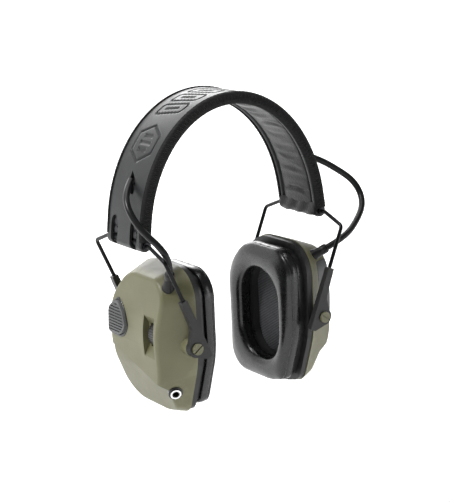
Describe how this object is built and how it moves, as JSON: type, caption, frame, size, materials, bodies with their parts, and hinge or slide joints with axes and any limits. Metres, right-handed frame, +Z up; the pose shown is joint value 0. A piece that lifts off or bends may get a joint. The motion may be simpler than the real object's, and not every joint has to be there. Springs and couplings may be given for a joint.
{
  "type": "earmuff hearing protector",
  "caption": "Over-the-head electronic earmuff: padded spring headband, wire stirrups with sliding arms, drafted cups with soft cushions, volume wheel, audio jack and battery door.",
  "frame": {"origin": "midway between the two ear cushions, level with the pivots the cups tilt on", "axes": "+X the wearer's right, +Y the wearer's front, +Z up through the crown of the headband"},
  "size_m": [0.1701, 0.087, 0.192],
  "materials": {
    "olive_plastic": "satin moulded",
    "black_plastic": "satin moulded",
    "grey_plastic": "fine satin",
    "cover_rubber": "soft-touch satin",
    "pad_leatherette": "wrinkled semi-gloss",
    "cushion_skin": "soft matte skin",
    "edge_binding": "woven tape",
    "spring_steel": "bright",
    "steel_fitting": "bright",
    "black_wire": "satin black coating",
    "mesh_cloth": "open weave",
    "foam": "open foam",
    "speaker_basket": "moulded",
    "circuit_green": "solder mask",
    "chrome_ring": "polished",
    "battery_can": "plain wrap",
    "contact_brass": "bright",
    "cable_rubber": "satin"
  },
  "bodies": {
    "headband_left": {"left_headband_cover": "cover_rubber", "left_headband_spring": "spring_steel", "left_headband_pad": "pad_leatherette", "left_headband_binding": "edge_binding", "left_end_fitting": "steel_fitting", "left_end_rivets": "steel_fitting"},
    "headband_right": {"right_headband_cover": "cover_rubber", "right_headband_spring": "spring_steel", "right_headband_pad": "pad_leatherette", "right_headband_binding": "edge_binding", "right_end_fitting": "steel_fitting", "right_end_rivets": "steel_fitting"},
    "left_stirrup": {"left_wire_stirrup": "black_wire"},
    "left_arms": {"left_rear_arm": "black_plastic", "left_front_arm": "black_plastic"},
    "left_cup": {"left_pivot_pins": "olive_plastic", "left_base_plate": "grey_plastic", "left_shell_screws": "steel_fitting", "left_cushion_backing": "black_plastic", "left_ear_cushion": "cushion_skin", "left_mesh_liner": "mesh_cloth", "left_foam_liner": "foam", "left_speaker": "speaker_basket", "left_microphone": "speaker_basket", "left_microphone_cover": "grey_plastic", "left_outer_shell": "olive_plastic", "left_cable_boot": "cable_rubber", "left_cable": "cable_rubber", "volume_potentiometer": "speaker_basket", "circuit_board": "circuit_green", "audio_jack": "black_plastic", "audio_jack_ring": "chrome_ring"},
    "right_stirrup": {"right_wire_stirrup": "black_wire"},
    "right_arms": {"right_rear_arm": "black_plastic", "right_front_arm": "black_plastic"},
    "right_cup": {"right_pivot_pins": "olive_plastic", "right_base_plate": "grey_plastic", "right_shell_screws": "steel_fitting", "right_cushion_backing": "black_plastic", "right_ear_cushion": "cushion_skin", "right_mesh_liner": "mesh_cloth", "right_foam_liner": "foam", "right_speaker": "speaker_basket", "right_microphone": "speaker_basket", "right_microphone_cover": "grey_plastic", "right_outer_shell": "olive_plastic", "right_cable_boot": "cable_rubber", "right_cable": "cable_rubber", "battery_door_pin": "steel_fitting", "battery_tray": "black_plastic", "battery_cells": "battery_can", "battery_contacts": "contact_brass"},
    "volume_wheel": {"volume_wheel": "black_plastic"},
    "battery_door": {"battery_door": "grey_plastic"}
  },
  "joints": [
    {"name": "headband_flex", "type": "hinge", "parent": "headband_left", "child": "headband_right", "pos_m": [0, 0, 0.1436], "axis": [0, -1, 0], "range_deg": [0, 38], "stiffness_Nm_per_rad": 2.5},
    {"name": "left_fold", "type": "hinge", "parent": "headband_left", "child": "left_stirrup", "pos_m": [-0.0642, 0, 0.061], "axis": [0, -1, 0], "range_deg": [0, 30], "deforming": ["left_cable"]},
    {"name": "left_height", "type": "slide", "parent": "left_stirrup", "child": "left_arms", "axis": [0.3915, 0, -0.9202], "range_m": [0, 0.022]},
    {"name": "left_tilt", "type": "hinge", "parent": "left_arms", "child": "left_cup", "pos_m": [-0.047, 0, 0], "axis": [0, 1, 0], "range_deg": [-8, 8]},
    {"name": "right_fold", "type": "hinge", "parent": "headband_right", "child": "right_stirrup", "pos_m": [0.0642, 0, 0.061], "axis": [0, 1, 0], "range_deg": [0, 30], "deforming": ["right_cable"]},
    {"name": "right_height", "type": "slide", "parent": "right_stirrup", "child": "right_arms", "axis": [-0.3915, 0, -0.9202], "range_m": [0, 0.022]},
    {"name": "right_tilt", "type": "hinge", "parent": "right_arms", "child": "right_cup", "pos_m": [0.047, 0, 0], "axis": [0, 1, 0], "range_deg": [-8, 8]},
    {"name": "volume_turn", "type": "hinge", "parent": "left_cup", "child": "volume_wheel", "pos_m": [-0.0543, -0.0174, 0.0053], "axis": [0, 1, 0], "range_deg": [0, 270]},
    {"name": "battery_door_hinge", "type": "hinge", "parent": "right_cup", "child": "battery_door", "pos_m": [0.0646, -0.0085, -0.0052], "axis": [0, 1, 0], "range_deg": [0, 100]}
  ]
}
